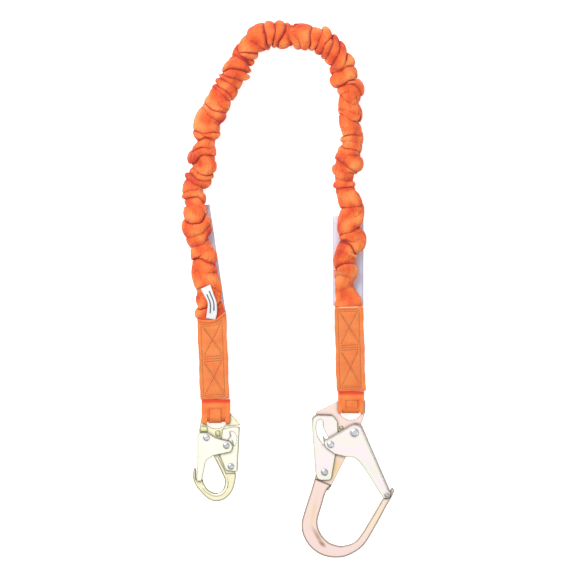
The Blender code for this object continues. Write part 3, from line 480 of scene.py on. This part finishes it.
def gathered_jacket(route):
    """The jacket as one skin: rolls of cloth with a valley between each two, round the route."""
    sides, samples = JACKET_SIDES, ROLL_SAMPLES
    rng = np.random.default_rng(ROLL_SEED)
    start, end = -END_OVERLAP, route.total + END_OVERLAP
    widths = gathered_rolls(end - start, rng)
    count = len(widths)
    angle = np.linspace(0, 2 * math.pi, sides, endpoint=False)

    def swing(size, waves=1):
        """size * cos(angle - own phase), one row per roll."""
        phase = rng.uniform(0, 2 * math.pi, (count, 1))
        return size * np.cos(waves * angle[None, :] - phase)

    # how much of its full size a roll has on each side: some rolls run out part of the way round
    reach = rng.uniform(-0.25, 0.75, (count, 1))
    always = (rng.random((count, 1)) < 0.45).astype(float)
    present = np.clip((swing(1.0) + reach) / 0.9 + 0.5, 0, 1)
    present = np.maximum(ease(present), always)
    size = widths[:, None] * (0.10 + 0.90 * present) * (1 + swing(0.24) + swing(0.12, 2))

    edges = np.concatenate(([0.0], np.cumsum(widths)))[:, None]
    drift = np.concatenate((np.zeros((1, sides)), np.cumsum(size, 0))) - edges
    local = drift - smoothed(drift, 4)
    tilt = smoothed(rng.normal(0, 1.0, (count + 1, 2)), 1)
    lean_across = tilt[:, :1] * np.cos(angle) + 0.6 * tilt[:, 1:] * np.sin(angle)
    fade = ease(np.minimum(edges, edges[-1] - edges) / 0.03)
    valley = edges + (local + 4.2 * MM * lean_across) * fade
    gap = 0.7 * MM * np.arange(count + 1)[:, None]
    valley = np.maximum.accumulate(valley - gap, 0) + gap
    valley = np.minimum(valley, edges[-1] - gap[::-1])

    near = np.minimum(edges, edges[-1] - edges)
    full = 0.22 + 0.78 * ease((near - 0.004) / 0.030)
    neighbours = np.minimum(
        np.concatenate((widths[:1], widths)), np.concatenate((widths, widths[-1:])))[:, None]
    phase = rng.uniform(0, 2 * math.pi, (count + 1, 1))
    depth = rng.uniform(5.2, 8.6, (count + 1, 1)) * MM
    paired = ((edges < 0.33) | (edges > 0.57)) & (np.arange(count + 1)[:, None] % 2 == 1)
    shallow = rng.random((count + 1, 1)) < np.where(paired, 0.85, 0.12)
    depth = np.where(shallow, 0.30 * depth, 1.12 * depth)
    depth = depth * (0.78 + 0.22 * np.cos(2 * angle) + 0.18 * np.cos(angle - phase))
    depth = np.minimum(depth, 0.82 * neighbours) * full
    low = -np.clip(depth, 0.6 * MM, 8.2 * MM)
    hollow = np.clip(-low / (7.0 * MM), 0.25, 1.0)
    top = rng.uniform(-3.0, 1.6, (count, 1)) * MM + swing(1.5 * MM) + swing(0.8 * MM, 2)
    top = top * full[:-1]
    base_mean = 0.5 * (low[:-1] + low[1:])
    top = base_mean + (top - base_mean) * present ** 0.7
    over = smoothed(rng.normal(0, 0.55, (count, 1)), 1) + swing(0.22)
    over = np.clip(over, -0.45, 0.45)

    rings_s, rings_r, crests = [], [], []
    for k in range(count):
        width = valley[k + 1] - valley[k]
        stout = ease(width / (6.5 * MM))
        power = np.clip(9.5 * MM / np.maximum(width, 1 * MM), 0.70, 1.0)
        for i in range(samples):
            t = i / samples
            x = 0.5 - 0.5 * math.cos(math.pi * t)
            base = low[k] * (1 - x) + low[k + 1] * x
            lift = (top[k] - base) * stout * math.sin(math.pi * t) ** power
            rings_r.append(base + lift)
            deepness = hollow[k] * (1 - x) + hollow[k + 1] * x
            crests.append(stout * (1 - deepness * (1 - math.sin(math.pi * t) ** 0.8)))
            rings_s.append(start + valley[k] + width * x + over[k] * np.maximum(lift, 0) * full[k])
    rings_s.append(start + valley[count])
    rings_r.append(low[count])
    crests.append(np.zeros(sides))
    s, r = np.array(rings_s), np.array(rings_r)
    s = np.clip(s, start, end)

    around, up = np.cos(angle)[None, :], np.sin(angle)[None, :]
    inside = np.clip(s, 0, route.total)
    half_thick, height = route.half_thick(inside), route.height(inside)
    half_width = route.half_width(inside)
    normal = np.stack(np.broadcast_arrays(around / half_width, up / half_thick), -1)
    normal /= np.linalg.norm(normal, axis=-1, keepdims=True)
    rough, shade = np.zeros_like(s), np.zeros_like(s)
    for i in range(s.shape[0]):
        for j in range(sides):
            here = Vector((s[i, j] * 60, around[0, j] * 1.2, up[0, j] * 1.0))
            crease = noise.noise(here * 1.7 + Vector((7.0, here.y * 1.5, 3.0)))
            fine = noise.noise(Vector((s[i, j] * 150, around[0, j] * 4.2, up[0, j] * 4.2)))
            rough[i, j] = 1.2 * noise.noise(here) + 0.35 * noise.noise(here * 3.3)
            rough[i, j] -= (0.9 * math.exp(-(crease / 0.055) ** 2)
                            + 0.5 * math.exp(-(fine / 0.09) ** 2))
            shade[i, j] = noise.noise(here * 0.9 + Vector((0.0, 0.0, 11.0)))
    calm = 0.3 + 0.7 * ease((np.minimum(s, route.total - s) - 0.004) / 0.03)
    r = r + rough * MM * calm
    r = np.maximum(r, CORE_HALF_WIDTH - half_width)
    bulge = np.exp(-((s - 0.0115) / 0.0075) ** 2) * np.maximum(-around, 0) ** 1.5
    r = np.minimum(r, 3.0 * MM) + 6.0 * MM * bulge
    r = np.minimum(r, 4.4 * MM)
    across = half_width * around + normal[..., 0] * r
    rise = half_thick * up + normal[..., 1] * r
    way = route.along(inside)
    place = route.place(inside) + way * (s - inside)[..., None]
    flat = place + right_of(way) * across[..., None]
    z = height + rise
    z = FLOOR_GAP + FLOOR_SOFT * np.log1p(np.exp((z - FLOOR_GAP) / FLOOR_SOFT))
    points = np.concatenate((flat, z[..., None]), -1).reshape(-1, 3)
    steps = np.hypot(np.diff(s, axis=0), np.diff(r, axis=0))
    cloth = np.cumsum(np.concatenate((np.zeros((1, sides)), steps)), 0)
    # The relief paints light and shade: a painted highlight on the crests, painted shadow in the valleys
    # and patches of painted shade from the shade noise.
    relief = np.clip(0.16 + 0.50 * np.array(crests) + 0.70 * shade + 0.10 * rough, 0, 1)
    weave = np.stack((cloth, np.broadcast_to(angle * WEAVE_RADIUS, cloth.shape), relief), -1)
    faces = ring_faces(len(s), sides)
    made = mesh_piece("gathered_jacket", points, faces, ORANGE, weave=weave.reshape(-1, 3))
    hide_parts("outer_jacket")
    return made


BAND_SECTION = (                  # across and up, in halves of a band's width and thickness
    (-1, -0.5), (-0.96, -1), (0.96, -1), (1, -0.5), (1, 0.5), (0.96, 1), (-0.96, 1), (-1, 0.5),
)


def ribbon(name, offset, width, thick, shader, stands_for):
    """A flat band inside the jacket along the whole route."""
    route = ROUTE_LINE
    points = []
    s = np.linspace(BAND_INSET, route.total - BAND_INSET, 200)
    place, side, height = route.place(s), right_of(route.along(s)), route.height(s)
    section = [(offset + x * width / 2, z * thick / 2) for x, z in BAND_SECTION]
    for i in range(len(s)):
        for x, z in section:
            points.append((*(place[i] + side[i] * x), height[i] + z))
    made = mesh_piece(name, points, ring_faces(len(s), len(section)), shader)
    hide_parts(stands_for)
    return made


def lanyard_leg():
    route = ROUTE_LINE
    jacket = gathered_jacket(route)
    core = ribbon("core_strap", 0.0, 16 * MM, 2.8 * MM, CORE, "shock_core_strap")
    bands = [
        ribbon(f"elastic_{n}", x * MM, 3.2 * MM, 1.5 * MM, ELASTIC, f"elastic_band_{n}")
        for n, x in ((1, -9.9), (2, 9.9))
    ]
    s = np.linspace(0, route.total, 260)
    path = np.column_stack((route.place(s), route.height(s)))


# ------------ sleeves

SLEEVE_HALF_WIDTH = 20.4 * MM
SLEEVE_HALF_THICK = 5.0 * MM
SLEEVE_COLUMNS = 44
SLEEVE_RINGS = 170
SLEEVE_LAYERS = 4                 # of webbing, seen on the sleeve's edges
SLANT_REACH = 26                  # how far down the sleeve the slant of its mouth shows, in mm
HEM_HALF = 20.2                   # half width of the mouth's hem, in mm
HEM_STEPS = 40


class SleeveFrame:
    """Places a point given across the sleeve, along it from its middle, and above its middle plane."""

    def __init__(self, prefix):
        top, bottom = SLEEVES[prefix]
        self.length = float(np.linalg.norm(top - bottom))
        self.centre = (top + bottom) / 2
        self.way = (top - bottom) / self.length
        self.side = np.array((self.way[1], -self.way[0]))

    def __call__(self, x, y, z):
        flat = self.centre + self.side * x + self.way * y
        return (flat[0], flat[1], MID_Z + z)


def stitch_lines(length):
    """Stitch rows of one sleeve in mm: (start, end) pairs, across and along from the middle."""
    half = length / MM / 2
    left, right = -15.2, 14.2
    low, high = -half + 3.0, half - 4.5
    rows = [((left, low), (left, high)), ((right, low), (right, high))]
    for y, tilt in ((4.9, 0.5), (1.6, 0.4), (-1.7, 0.6)):
        rows.append(((-12.7, y - tilt), (12.0, y + tilt)))
    rows += [((-13.5, low - 0.2), (13.0, low + 0.1)), ((-13.8, low + 2.8), (13.6, low + 3.0))]
    rows += [((-14.0, high), (13.0, high + 0.4)), ((-13.5, high - 2.6), (13.2, high - 2.4))]
    for bottom, top in ((6.5, high - 3.4), (low + 4.2, -3.0)):
        rows.append(((-12.6, bottom), (11.6, top)))
        rows.append(((-13.2, top), (12.8, bottom)))
        rows.append(((-10.6, top - 2.4), (13.8, bottom + 3.0)))
    return rows


def dips(x, y, rows):
    """How far stitches pull the surface down at (x, y) in mm, from 0 to 1."""
    nearest = 4.0
    for (ax, ay), (bx, by) in rows:
        dx, dy = bx - ax, by - ay
        t = min(max(((x - ax) * dx + (y - ay) * dy) / (dx * dx + dy * dy), 0.0), 1.0)
        nearest = min(nearest, math.hypot(x - ax - t * dx, y - ay - t * dy))
    return math.exp(-(nearest / 1.5) ** 2)


def stitches(name, rows, place, shader, pitch=3.0, size=0.29, gap=0.28):
    """Short threads along rows given in mm; place(x, y, up) is a point on the upper or lower face."""
    points, faces, ring = [], [], 6
    for up in (1, -1):
        for (ax, ay), (bx, by) in rows:
            length = math.hypot(bx - ax, by - ay)
            number = max(1, round(length / pitch))
            ux, uy = (bx - ax) / length, (by - ay) / length
            step = length / number
            for i in range(number):
                base = len(points)
                for k in range(5):
                    t = k / 4
                    along = step * (i + gap / 2 + (1 - gap) * t)
                    lift = size * (1.0 - 1.9 * (2 * t - 1) ** 4)
                    for j in range(ring):
                        a = 2 * math.pi * j / ring
                        off, rise = size * math.cos(a), 0.7 * size * math.sin(a)
                        x, y = ax + ux * along - uy * off, ay + uy * along + ux * off
                        p = place(x, y, up)
                        points.append((p[0], p[1], p[2] + up * (lift * 0.55 + rise) * MM))
                faces += ring_faces(5, ring, base)
    mesh_piece(name, points, faces, shader)


def sleeve(prefix):
    """The flat stitched pack: four layers of webbing, quilted by its stitch rows."""
    put = SleeveFrame(prefix)
    rows = stitch_lines(put.length)
    half = put.length / MM / 2
    wide, thick = SLEEVE_HALF_WIDTH / MM, SLEEVE_HALF_THICK / MM
    mouth = prefix == "snap"

    def edge(y, sign):
        """Half width at a place along the sleeve, a little uneven."""
        wander = 0.35 * math.sin(y * 0.11 + 1.7 * sign) + 0.2 * math.sin(y * 0.31 + sign)
        return wide + wander - 0.5 * float(ease((abs(y) - half + 4) / 4))

    def mouth_rise(x):
        """The mouth's slant: low at its left and middle, high at its right."""
        u = x / wide
        return (2.0 * u * u + 7.5 * max(u, 0) ** 1.6 + 1.5 * u) if mouth else 0.0

    def drawn(x, y):
        """Where the webbing at y lies once the mouth's slant has drawn it up."""
        return y + mouth_rise(x) * float(ease((y - half + SLANT_REACH) / SLANT_REACH))

    def surface(x, y, up):
        crown = 0.35 * (1 - (x / wide) ** 2)
        pull = dips(x, y, rows)
        fall = max(0.0, abs(y) - half + 2.0) / 2.0
        z = thick - 0.15 + crown - 0.62 * pull - 0.9 * fall ** 2
        return up * z

    columns, rings, layers = SLEEVE_COLUMNS, SLEEVE_RINGS, SLEEVE_LAYERS
    points, weave = [], []
    for i in range(rings + 1):
        y = -half + 2 * half * i / rings
        ring = []
        for up in (1, -1):
            row = [(-1 + 2 * j / columns) for j in range(columns + 1)]
            for u in (row if up == 1 else row[::-1]):
                x = u * (edge(y, 1) if u > 0 else edge(y, -1))
                x -= 0.5 * u * abs(u) ** 8
                ring.append((x, surface(x, y, up)))
            sign = 1 if up == 1 else -1
            out = edge(y, sign)
            top, bottom = ring[-1][1], -ring[-1][1]
            for k in range(layers):
                for a in (0.12, 0.5, 0.88):
                    t = (k + a) / layers
                    bulge = 0.0 if a == 0.5 else -0.45
                    bulge -= 0.35 * ((k * 7 + 3) % 4) / 3
                    ring.append((sign * (out + bulge), top * (1 - t) + bottom * t))
        for x, z in ring:
            points.append(put(x * MM, drawn(x, y) * MM, z * MM))
            weave.append((x * MM, y * MM, PLAIN))
    faces = ring_faces(rings + 1, len(ring))
    made = mesh_piece(prefix + "_sleeve", points, faces, WEBBING, weave=weave)
    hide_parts(prefix + "_end_sleeve")

    def on_face(x, y, up):
        return put(x * MM, drawn(x, y) * MM, surface(x, y, up) * MM)

    stitches(prefix + "_sleeve_stitches", rows, on_face, THREAD)
    if mouth:
        points, weave, faces, ring = [], [], [], 12
        for up in (1, -1):
            base = len(points)
            for i in range(HEM_STEPS + 1):
                x = -HEM_HALF + 2 * HEM_HALF * i / HEM_STEPS
                y, sag = half + 1.0, 1.6 * (1 - (x / HEM_HALF) ** 2)
                z = surface(x, half - 3, 1) - 0.2
                for j in range(ring):
                    a = 2 * math.pi * j / ring
                    p = put(x * MM, (y - sag + mouth_rise(x) + 2.1 * math.cos(a)) * MM,
                            up * (z + 1.5 * math.sin(a)) * MM)
                    points.append(p)
                    weave.append((x * MM, a * 0.002, PLAIN))
            faces += ring_faces(HEM_STEPS + 1, ring, base)
        mesh_piece(prefix + "_mouth_hem", points, faces, STRAP, weave=weave)
    else:
        tack = [((-13.6, half - 1.6), (13.6, half - 1.4)), ((-13.4, half - 1.0), (13.5, half - 0.8))]
        stitches(prefix + "_bar_tack", tack, on_face, PALE_THREAD, pitch=1.0, size=0.55, gap=0.02)


# ------------ loops at the eyes

LOOPS = {
    # edges of the strap, of the pad in its middle, and the lobes' and pad's lowest points, in mm
    "snap": {
        "left": -20.6, "right": 19.4, "pad": (-10.8, 7.6), "lobe_low": -5.6, "pad_low": -4.1, "top": 29.4,
    },
    "rebar": {
        "left": -17.6, "right": 18.8, "pad": (-7.5, 10.8), "lobe_low": -2.6, "pad_low": -0.4, "top": 28.7,
    },
}
BAR_Y = 16.4                      # axis of the eye's bar above the eye, in mm
PAD_REACH = 9.5                   # of the pad's face from the middle plane, in mm
MIDDLE_HALF = 12.2                # half width of the strap between its two lobes, in mm


def strap_relief(y):
    """Shadowed just under the sleeve's edge, plain from 5 mm below it."""
    return PLAIN * (1 - 0.9 * float(ease((y - 21.5) / 5.0)))


def folded_strap(name, prefix, left, right, reach, thick, low, top, top_half, round_edge=1.0):
    """A strap folded round the eye's bar: its section in (y, z) swept from left to right, in mm."""
    bend = low + reach
    line = [(top, top_half)]
    if top > BAR_Y + 3:
        for i in range(1, 8):
            t = float(ease(i / 8))
            line.append((top + (BAR_Y + 2.5 - top) * i / 8, top_half + (reach - top_half) * t))
        line.append((BAR_Y + 1.0, reach))
    line += [(BAR_Y + 1.0 + (bend - BAR_Y - 1.0) * i / 6, reach) for i in range(1, 6)]
    line += [(bend + reach * math.cos(a), reach * math.sin(a))
             for a in (math.radians(90 + 90 * i / 12) for i in range(13))]
    line = line + [(y, -z) for y, z in line[-2::-1]]
    line = np.array(line)
    tangent = np.gradient(line, axis=0)
    tangent /= np.linalg.norm(tangent, axis=1, keepdims=True)
    inward = np.column_stack((-tangent[:, 1], tangent[:, 0]))
    inward *= np.sign(np.sum((np.array((bend + 4, 0.0)) - line) * inward, axis=1))[:, None]
    inner = line + inward * thick
    across = [left, left + 0.25, left + 0.7] + list(np.linspace(left + 1.6, right - 1.6, 14))
    across += [right - 0.7, right - 0.25, right]
    pinch = [0.30 * round_edge, 0.08 * round_edge] + [0.0] * 16 + [0.08 * round_edge, 0.30 * round_edge]
    points, weave, count = [], [], 2 * len(line)
    for x, p in zip(across, pinch):
        ring = [line[i] * (1 - p) + inner[i] * p for i in range(len(line))]
        ring += [inner[i] * (1 - p) + line[i] * p for i in range(len(line) - 1, -1, -1)]
        for n, (y, z) in enumerate(ring):
            ripple = 0.12 * math.sin(y * 0.9 + x * 0.35)
            rise = z + ripple * (n < len(line))
            points.append((*from_eye(prefix, x, y), MID_Z + rise * MM))
            weave.append((x * MM, y * MM, strap_relief(y)))
    return mesh_piece(name, points, ring_faces(len(across), count), STRAP, weave=weave)


def lobe(prefix, name, inner, outer, low, top):
    """The strap's free edge over and under the eye's side, level with the middle strap, in mm."""
    rows = 40
    points, weave, faces = [], [], []
    for up in (1, -1):
        base = len(points)
        for i in range(rows + 1):
            y = top + (low - top) * (1 - (1 - i / rows) ** 1.3)
            end = min((y - low) / 5.5, 1.0)
            round_end = math.sqrt(max(0.0, 1 - (1 - end) ** 2))
            rise = float(ease((top - y) / (top - BAR_Y - 2.5)))
            crest = 4.55 + 4.0 * rise
            foot = 4.35 - 3.6 * float(ease((y - 22.5) / 3))
            middle = 0.35 * crest + 0.65 * foot
            crest = middle + (crest - middle) * (0.15 + 0.85 * round_end)
            foot = middle + (foot - middle) * (0.15 + 0.85 * round_end)
            edge = outer + (inner - outer) * 0.45 * (1 - round_end)
            start = inner + (outer - inner) * 0.40 * (1 - round_end)
            turn = 2.6 if abs(edge - start) > 5.2 else abs(edge - start) / 2
            side = math.copysign(1.0, outer - inner)
            drop = min(turn, crest - foot) * 0.9
            ring = [(start, foot), (start, crest - 0.03), (start + side * 0.5, crest)]
            ring += [(start + (edge - side * turn - start) * k / 4, crest + 0.10 * math.sin(y * 0.8 + k))
                     for k in range(1, 5)]
            for k in range(1, 7):
                a = math.radians(15 * k)
                ring.append((edge - side * turn * (1 - math.sin(a)), crest - drop * (1 - math.cos(a))))
            ring += [(edge - side * 0.3, foot + 0.1), (edge - side * turn, foot)]
            for x, z in ring:
                points.append((*from_eye(prefix, x, y), MID_Z + up * z * MM))
                weave.append((x * MM, y * MM, strap_relief(y)))
        faces += ring_faces(rows + 1, len(ring), base)
    made = mesh_piece(name, points, faces, STRAP, body=None, weave=weave)
    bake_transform(made)


def loop(prefix):
    shape = LOOPS[prefix]
    made = folded_strap(
        prefix + "_loop", prefix, -MIDDLE_HALF, MIDDLE_HALF, 8.6, 1.8, -2.4, shape["top"], 4.6, 0.1)
    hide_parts(prefix + "_end_loop")
    left, right = shape["pad"]
    pad = folded_strap(
        prefix + "_pad", prefix, left, right, PAD_REACH, 0.9, shape["pad_low"], BAR_Y + 1.0, PAD_REACH)
    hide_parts(prefix + "_wear_pad")
    for name, inner in (("left", -MIDDLE_HALF), ("right", MIDDLE_HALF)):
        lobe(prefix, f"{prefix}_lobe_{name}", inner, shape[name], shape["lobe_low"], shape["top"])

    def on_pad(x, y, up):
        bend = shape["pad_low"] + PAD_REACH
        z = PAD_REACH if y > bend else math.sqrt(max(0.0, PAD_REACH ** 2 - (bend - y) ** 2))
        return (*from_eye(prefix, x, y), MID_Z + up * (z + 0.05) * MM)

    rows = [((left + 1.2, 0.5), (left + 1.2, 16.2)), ((right - 1.2, 0.5), (right - 1.2, 16.2)),
            ((left + 1.2, 16.2), (right - 1.2, 16.2))]
    stitches(prefix + "_pad_stitches", rows, on_pad, THREAD, pitch=2.0, size=0.3)


# ------------ labels and tag

def leaf(name, centre_line, widths, thick, shader):
    """A thin sheet: centre line of (x, y, z) points in metres, with a width at each point."""
    line = np.array(centre_line)
    side = sideways(line)
    columns = 8
    points = []
    for i, (x, y, z) in enumerate(line):
        ring = [(-1 + 2 * j / columns, 0.5) for j in range(columns + 1)]
        ring += [(1 - 2 * j / columns, -0.5) for j in range(columns + 1)]
        for u, up in ring:
            offset = side[i] * u * widths[i] / 2
            rise = up * thick + 0.25 * MM * u * math.sin(i * 0.5)
            points.append((x + offset[0], y + offset[1], z + rise))
    return mesh_piece(name, points, ring_faces(len(line), 2 * (columns + 1)), shader)


LABEL_PACKS = {                   # middle of the sewn end and of the free end, and the width, in mm
    "snap": (np.array((-106.56, 95.1)), np.array((-128.86, 244.6)), 30.0),
    "rebar": (np.array((79.64, 105.1)), np.array((79.64, 230.6)), 43.6),
}


def labels(prefix):
    low, high, width = LABEL_PACKS[prefix]
    for n in range(2):
        line = []
        for i in range(31):
            t = i / 30
            x, y = low + (high - low) * (t * (1 - 0.03 * n))
            z = 0.35 + 0.55 * n + 1.4 * (1 - float(ease(t * 7))) + 0.18 * math.sin(t * 9 + n)
            line.append((x * MM, y * MM, z * MM))
        widths = [(width - 1.2 * n) * MM] * len(line)
        leaf(f"{prefix}_label_{n + 1}", line, widths, 0.3 * MM, LABEL)
    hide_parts(prefix + "_label_pack")


def tag():
    """The small white tag sewn in at the mouth of the snap hook's sleeve, curving over the jacket."""
    knots = ((-112.2, 86.5, 15.8), (-110.3, 97.0, 19.5), (-110.2, 109.0, 23.5),
             (-114.6, 120.7, 26.0), (-119.4, 131.5, 27.5))
    line = smooth(knots, 8) * MM
    widths = [(13.0 + 1.2 * math.sin(i / 4)) * MM for i in range(len(line))]
    made = leaf("sewn_tag_cloth", line, widths, 0.5 * MM, TAG)
    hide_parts("sewn_tag")
    side = sideways(line)
    points, faces = [], []
    for offset, first, last in ((-2.6, 6, 26), (2.2, 9, 28)):
        base = len(points)
        picked = range(first, last)
        for i in picked:
            for u, up in ((-1, 0.3), (1, 0.3), (1, 0.42), (-1, 0.42)):
                p = line[i][:2] + side[i] * (offset + 0.75 * u) * MM
                points.append((p[0], p[1], line[i][2] + (up + 0.15) * MM))
        faces += ring_faces(len(picked), 4, base)
    bars = mesh_piece("sewn_tag_rules", points, faces, INK)


# ------------ hooks

METALS = {
    "snap_hook_body": ZINC, "snap_gate": SNAP_GATE, "snap_lock_lever": SNAP_LEVER,
    "rebar_hook_body": GOLD, "rebar_gate": REBAR_GATE, "rebar_lock_lever": REBAR_LEVER,
    "_rivet": RIVET, "_pin": RIVET, "_spring": SPRING,
}


def hooks():
    """Gives each CAD piece of the hooks its metal, by the end of its name."""
    for name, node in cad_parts.items():
        for ending, shader in METALS.items():
            if name.endswith(ending):
                node.data.materials.clear()
                node.data.materials.append(shader.material)


def raised(name, prefix, corners, bottom, top, shader, soften=1.6):
    """A forged pad on both faces of a hook: corners in mm from the eye, heights from the middle."""
    outline = [np.array(c, float) for c in corners]
    turned = []
    for i, here in enumerate(outline):
        before, after = outline[i - 1], outline[(i + 1) % len(outline)]
        first = here + (before - here) * min(0.45, soften / np.linalg.norm(before - here))
        last = here + (after - here) * min(0.45, soften / np.linalg.norm(after - here))
        for k in range(5):
            t = k / 4
            turned.append(first * (1 - t) ** 2 + 2 * here * t * (1 - t) + last * t * t)
    centre = sum(turned) / len(turned)
    points, faces = [], []
    for up in (1, -1):
        base = len(points)
        for z, shrink in ((bottom, 1.0), (top - 0.5, 1.0), (top - 0.12, 0.96), (top, 0.86)):
            for p in turned:
                q = centre + (p - centre) * shrink
                points.append((*from_eye(prefix, *q), MID_Z + up * z * MM))
        faces += ring_faces(4, len(turned), base)
    mesh_piece(name, points, faces, shader, prefix + "_hook")


def bead(name, prefix, path, radius, heights, shader):
    """A rounded ridge on both faces of a hook: path in mm from the eye, heights from the middle."""
    line = smooth([(*p, h) for p, h in zip(path, heights)], 8)
    side = sideways(line)
    points, faces, ring = [], [], 16
    for up in (1, -1):
        base = len(points)
        for i, (x, y, z) in enumerate(line):
            end = min(i, len(line) - 1 - i) / 3
            size = radius * math.sqrt(min(1.0, 0.05 + end))
            for j in range(ring):
                a = 2 * math.pi * j / ring
                out = size * math.cos(a)
                flat = from_eye(prefix, x + side[i, 0] * out, y + side[i, 1] * out)
                points.append((*flat, MID_Z + up * (z + size * math.sin(a)) * MM))
        faces += ring_faces(len(line), ring, base)
    mesh_piece(name, points, faces, shader, prefix + "_hook")


BOSS_LOW, BOSS_TOP = 3.4, 4.18    # the lock levers pass over the bosses, 4.3 mm from the middle


def forged_details():
    """The small forged shapes of the hooks' faces."""
    lug = ((-23.2, -8.8), (-12.6, -8.6), (-12.4, -15.9), (-22.0, -15.9))
    raised("snap_lug", "snap", lug, 3.9, 5.7, LUG)
    boss = ((-1.6, -14.2), (5.6, -13.8), (6.0, -23.4), (-1.4, -22.4))
    raised("snap_boss", "snap", boss, BOSS_LOW, BOSS_TOP, LUG, 2.6)
    boss = ((-16.8, -20.5), (-10.5, -18.8), (-9.5, -24.0), (-15.8, -25.3))
    raised("rebar_boss", "rebar", boss, BOSS_LOW, BOSS_TOP, LUG, 2.2)
    # A thin sheet of painted shade where the snap hook shows a slit.
    slit = ((16.0, -85.0), (17.4, -84.6), (16.2, -95.5), (15.4, -95.2))
    raised("snap_slit", "snap", slit, 5.1, 5.27, SLIT_SHADE, 0.5)
    path = ((-19.4, -90.8), (-13.4, -98.8), (-5.6, -103.4), (0.4, -104.4), (6.6, -102.9), (11.5, -98.2),
            (14.3, -90.5), (14.4, -82.0), (11.2, -73.6), (5.0, -60.5), (-0.3, -50.0))
    heights = (3.3, 3.3, 3.3, 3.3, 3.3, 3.3, 3.3, 3.2, 2.7, 2.3, 2.3)
    bead("snap_inner_bead", "snap", path, 2.7, heights, BEAD)


# ------------ stage

FLOOR_HALF = 4.0
FLOOR_GLOW = 0.62                 # the paper's own light, which keeps it white
CAMERA_HEIGHT = 6.0
VIEW_WIDTH = 0.8064               # of the floor, from one edge of the picture to the other
SENSOR = 36
LIT_PLACE = (0, 0.13, 0)
LIGHT_SIZE = 1.2


def area_light(name, place, power):
    """A white round light that faces the lit place."""
    data = bpy.data.lights.new(name, "AREA")
    data.shape = "DISK"
    data.size = LIGHT_SIZE
    data.energy = power
    made = bpy.data.objects.new(name, data)
    made.location = place
    made.rotation_euler = (Vector(LIT_PLACE) - Vector(place)).to_track_quat("-Z", "Y").to_euler()
    bpy.context.scene.collection.objects.link(made)


def stage():
    """White paper, soft light from above and a camera that looks straight down from far off."""
    corners = [(x * FLOOR_HALF, y * FLOOR_HALF, 0) for x, y in ((-1, -1), (1, -1), (1, 1), (-1, 1))]
    mesh = bpy.data.meshes.new("floor")
    mesh.from_pydata(corners, [], [(0, 1, 2, 3)])
    floor = bpy.data.objects.new("floor", mesh)
    floor.location.z = -0.05 * MM
    bpy.context.scene.collection.objects.link(floor)
    paper = Shader("paper", (0.9, 0.9, 0.9), 0.9)
    paper.main.inputs["Emission Color"].default_value = (1, 1, 1, 1)
    paper.main.inputs["Emission Strength"].default_value = FLOOR_GLOW
    paper.main.inputs["Specular IOR Level"].default_value = 0.0
    mesh.materials.append(paper.material)

    world = bpy.data.worlds.new("studio")
    bpy.context.scene.world = world
    world.use_nodes = True
    tree = world.node_tree
    back = tree.nodes["Background"]
    place = tree.nodes.new("ShaderNodeTexCoord")
    split = tree.nodes.new("ShaderNodeSeparateXYZ")
    ramp = tree.nodes.new("ShaderNodeMapRange")
    ramp.interpolation_type = "SMOOTHSTEP"
    for socket, value in (("From Min", 0.30), ("From Max", 0.95), ("To Min", 0.24), ("To Max", 0.92)):
        ramp.inputs[socket].default_value = value
    tree.links.new(place.outputs["Generated"], split.inputs[0])
    tree.links.new(split.outputs[2], ramp.inputs["Value"])
    tree.links.new(ramp.outputs["Result"], back.inputs["Strength"])
    back.inputs["Color"].default_value = (1, 1, 1, 1)

    area_light("key", (-0.9, 1.3, 1.6), 38)
    area_light("fill", (1.4, -0.7, 1.3), 6)

    data = bpy.data.cameras.new("camera")
    data.sensor_width = SENSOR
    data.lens = SENSOR * CAMERA_HEIGHT / VIEW_WIDTH
    data.clip_end = 100
    camera = bpy.data.objects.new("camera", data)
    camera.location = (-4.36 * MM, 129.8 * MM, CAMERA_HEIGHT)
    bpy.context.scene.collection.objects.link(camera)
    bpy.context.scene.camera = camera
    bpy.context.scene.view_settings.view_transform = "Standard"


lanyard_leg()
for end in ("snap", "rebar"):
    sleeve(end)
    loop(end)
    labels(end)
tag()
hooks()
forged_details()
stage()
